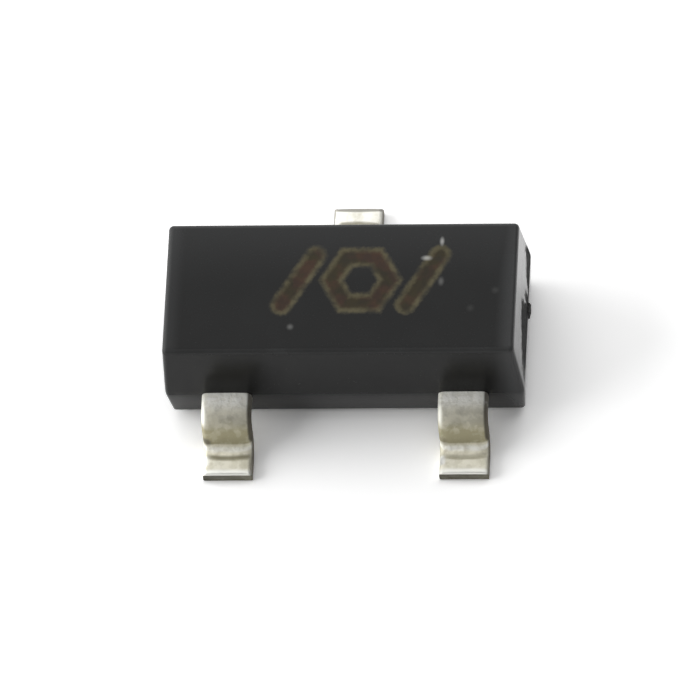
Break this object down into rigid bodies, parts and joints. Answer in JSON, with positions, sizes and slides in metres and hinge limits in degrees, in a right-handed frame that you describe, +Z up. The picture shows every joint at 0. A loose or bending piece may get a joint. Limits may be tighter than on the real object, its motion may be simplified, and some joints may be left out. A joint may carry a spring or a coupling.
{
  "type": "bipolar transistor",
  "caption": "Surface-mount bipolar transistor: a drafted black moulded body gripping flat tin-plated gull-wing leads, with the chip and its bond wires sealed inside.",
  "frame": {"origin": "on the board plane, under the middle of the body", "axes": "+X along the body's length towards the emitter lead's end, +Y from the base and emitter leads towards the collector lead, +Z up from the board"},
  "size_m": [0.0029, 0.0024, 0.001],
  "materials": {
    "resin": "near-black filled epoxy with a fine satin skin, and a tan laser-etched mark on the top face",
    "tin_plate": "matte tin plating over copper alloy, brighter on the bends, bare and dark at the cut tips",
    "silicon": "polished silicon with aluminium bond pads",
    "silver_paste": "cured silver-filled epoxy",
    "gold": "drawn gold wire"
  },
  "bodies": {
    "root": {"moulded_body": "resin", "base_lead": "tin_plate", "emitter_lead": "tin_plate", "collector_lead": "tin_plate", "silicon_die": "silicon", "die_attach": "silver_paste", "base_bond_wire": "gold", "emitter_bond_wire": "gold"}
  },
  "joints": []
}
